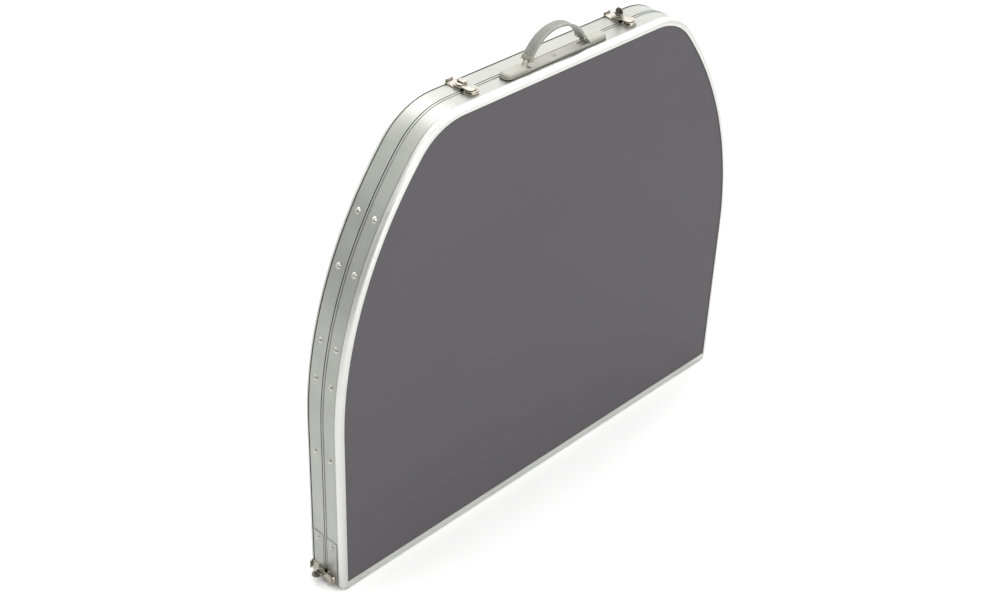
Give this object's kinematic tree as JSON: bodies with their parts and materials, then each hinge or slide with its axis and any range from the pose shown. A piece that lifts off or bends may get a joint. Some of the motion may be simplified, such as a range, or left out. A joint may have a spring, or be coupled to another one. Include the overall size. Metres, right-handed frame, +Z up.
{
  "type": "brochure rack",
  "caption": "Folding brochure rack: two arched aluminium trays hinged like a book, with ledges, retaining bars, twist latches and a carrying handle.",
  "frame": {"origin": "on the floor, midway along the width, in the parting plane between the two trays", "axes": "+X along the width towards the hinge side, -Y towards the front tray's face, +Z up"},
  "size_m": [0.8232, 0.0688, 0.728],
  "materials": {
    "rim_aluminium": "satin anodised, fine lengthwise brushing",
    "inner_aluminium": "mill finish",
    "panel_laminate": "matt grey laminate",
    "latch_nickel": "nickel plated",
    "wing_metal": "nickel plated, darker",
    "rivet_steel": "bright domed",
    "hinge_steel": "nickel plated",
    "handle_plastic": "moulded, light grey",
    "grip_vinyl": "ribbed vinyl",
    "handle_steel": "bright plated"
  },
  "bodies": {
    "back_half": {"back_arch_frame": "rim_aluminium", "back_bottom_rail": "rim_aluminium", "back_corner_bracket_left": "inner_aluminium", "back_corner_bracket_right": "inner_aluminium", "back_corner_plate_left": "rim_aluminium", "back_corner_plate_right": "rim_aluminium", "back_frame_rivets": "rivet_steel", "back_lower_retaining_bar": "inner_aluminium", "back_lower_toe_bar": "inner_aluminium", "back_panel": "panel_laminate", "back_shelf_ledge": "inner_aluminium", "back_upper_middle_bar": "inner_aluminium", "back_upper_retaining_bar": "inner_aluminium", "back_upper_toe_bar": "inner_aluminium", "hinge_leaf_back": "hinge_steel", "hinge_pin": "hinge_steel", "hinge_rivets_back": "rivet_steel", "latch_base_rivets": "rivet_steel", "latch_side_base": "latch_nickel", "latch_top_left_base": "latch_nickel", "latch_top_right_base": "latch_nickel"},
    "front_half": {"front_arch_frame": "rim_aluminium", "front_bottom_rail": "rim_aluminium", "front_corner_bracket_left": "inner_aluminium", "front_corner_bracket_right": "inner_aluminium", "front_corner_plate_left": "rim_aluminium", "front_corner_plate_right": "rim_aluminium", "front_frame_rivets": "rivet_steel", "front_lower_retaining_bar": "inner_aluminium", "front_lower_toe_bar": "inner_aluminium", "front_panel": "panel_laminate", "front_shelf_ledge": "inner_aluminium", "front_upper_middle_bar": "inner_aluminium", "front_upper_retaining_bar": "inner_aluminium", "front_upper_toe_bar": "inner_aluminium", "handle_cap_left": "handle_plastic", "handle_cap_right": "handle_plastic", "handle_plate": "handle_plastic", "handle_screw": "handle_steel", "hinge_leaf_front": "hinge_steel", "hinge_rivets_front": "rivet_steel", "latch_keeper_rivets": "rivet_steel", "latch_side_keeper": "latch_nickel", "latch_top_left_keeper": "latch_nickel", "latch_top_right_keeper": "latch_nickel"},
    "handle": {"handle_collar_left": "handle_steel", "handle_collar_right": "handle_steel", "handle_grip": "grip_vinyl", "handle_loop_left": "handle_steel", "handle_loop_right": "handle_steel"},
    "latch_top_left_cam": {"latch_top_left_cam": "latch_nickel"},
    "latch_top_left_wing": {"latch_top_left_wing": "latch_nickel"},
    "latch_top_left_link": {"latch_top_left_link": "latch_nickel"},
    "latch_top_right_cam": {"latch_top_right_cam": "latch_nickel"},
    "latch_top_right_wing": {"latch_top_right_wing": "wing_metal"},
    "latch_top_right_link": {"latch_top_right_link": "latch_nickel"},
    "latch_side_cam": {"latch_side_cam": "latch_nickel"},
    "latch_side_wing": {"latch_side_wing": "wing_metal"},
    "latch_side_link": {"latch_side_link": "latch_nickel"}
  },
  "joints": [
    {"name": "case_hinge", "type": "hinge", "parent": "back_half", "child": "front_half", "pos_m": [0.4033, 0, 0.152], "axis": [0, 0, 1], "range_deg": [0, 180]},
    {"name": "handle_swing", "type": "hinge", "parent": "front_half", "child": "handle", "pos_m": [0, -0.0114, 0.6856], "axis": [1, 0, 0], "range_deg": [-42, 42]},
    {"name": "latch_top_left_turn", "type": "hinge", "parent": "back_half", "child": "latch_top_left_cam", "pos_m": [-0.15, 0.008, 0.681], "axis": [0, 0, 1], "range_deg": [0, 180]},
    {"name": "latch_top_left_fold", "type": "hinge", "parent": "latch_top_left_cam", "child": "latch_top_left_wing", "pos_m": [-0.15, 0.008, 0.6884], "axis": [0, -1, 0], "range_deg": [0, 90]},
    {"name": "latch_top_left_draw", "type": "slide", "parent": "back_half", "child": "latch_top_left_link", "axis": [0, -1, 0], "range_m": [0, 0.004]},
    {"name": "latch_top_right_turn", "type": "hinge", "parent": "back_half", "child": "latch_top_right_cam", "pos_m": [0.15, 0.008, 0.681], "axis": [0, 0, 1], "range_deg": [0, 180]},
    {"name": "latch_top_right_fold", "type": "hinge", "parent": "latch_top_right_cam", "child": "latch_top_right_wing", "pos_m": [0.15, 0.008, 0.6884], "axis": [0, -1, 0], "range_deg": [-90, 0]},
    {"name": "latch_top_right_draw", "type": "slide", "parent": "back_half", "child": "latch_top_right_link", "axis": [0, -1, 0], "range_m": [0, 0.004]},
    {"name": "latch_side_turn", "type": "hinge", "parent": "back_half", "child": "latch_side_cam", "pos_m": [-0.4, 0.008, 0.013], "axis": [-1, 0, 0], "range_deg": [0, 180]},
    {"name": "latch_side_fold", "type": "hinge", "parent": "latch_side_cam", "child": "latch_side_wing", "pos_m": [-0.4074, 0.008, 0.013], "axis": [0, -1, 0], "range_deg": [-90, 0]},
    {"name": "latch_side_draw", "type": "slide", "parent": "back_half", "child": "latch_side_link", "axis": [0, -1, 0], "range_m": [0, 0.004]}
  ],
  "couplings": [
    {"joint": "latch_top_left_turn", "follows": "latch_top_left_draw", "rad_per_m": 785.4},
    {"joint": "latch_top_right_turn", "follows": "latch_top_right_draw", "rad_per_m": 785.4},
    {"joint": "latch_side_turn", "follows": "latch_side_draw", "rad_per_m": 785.4}
  ]
}
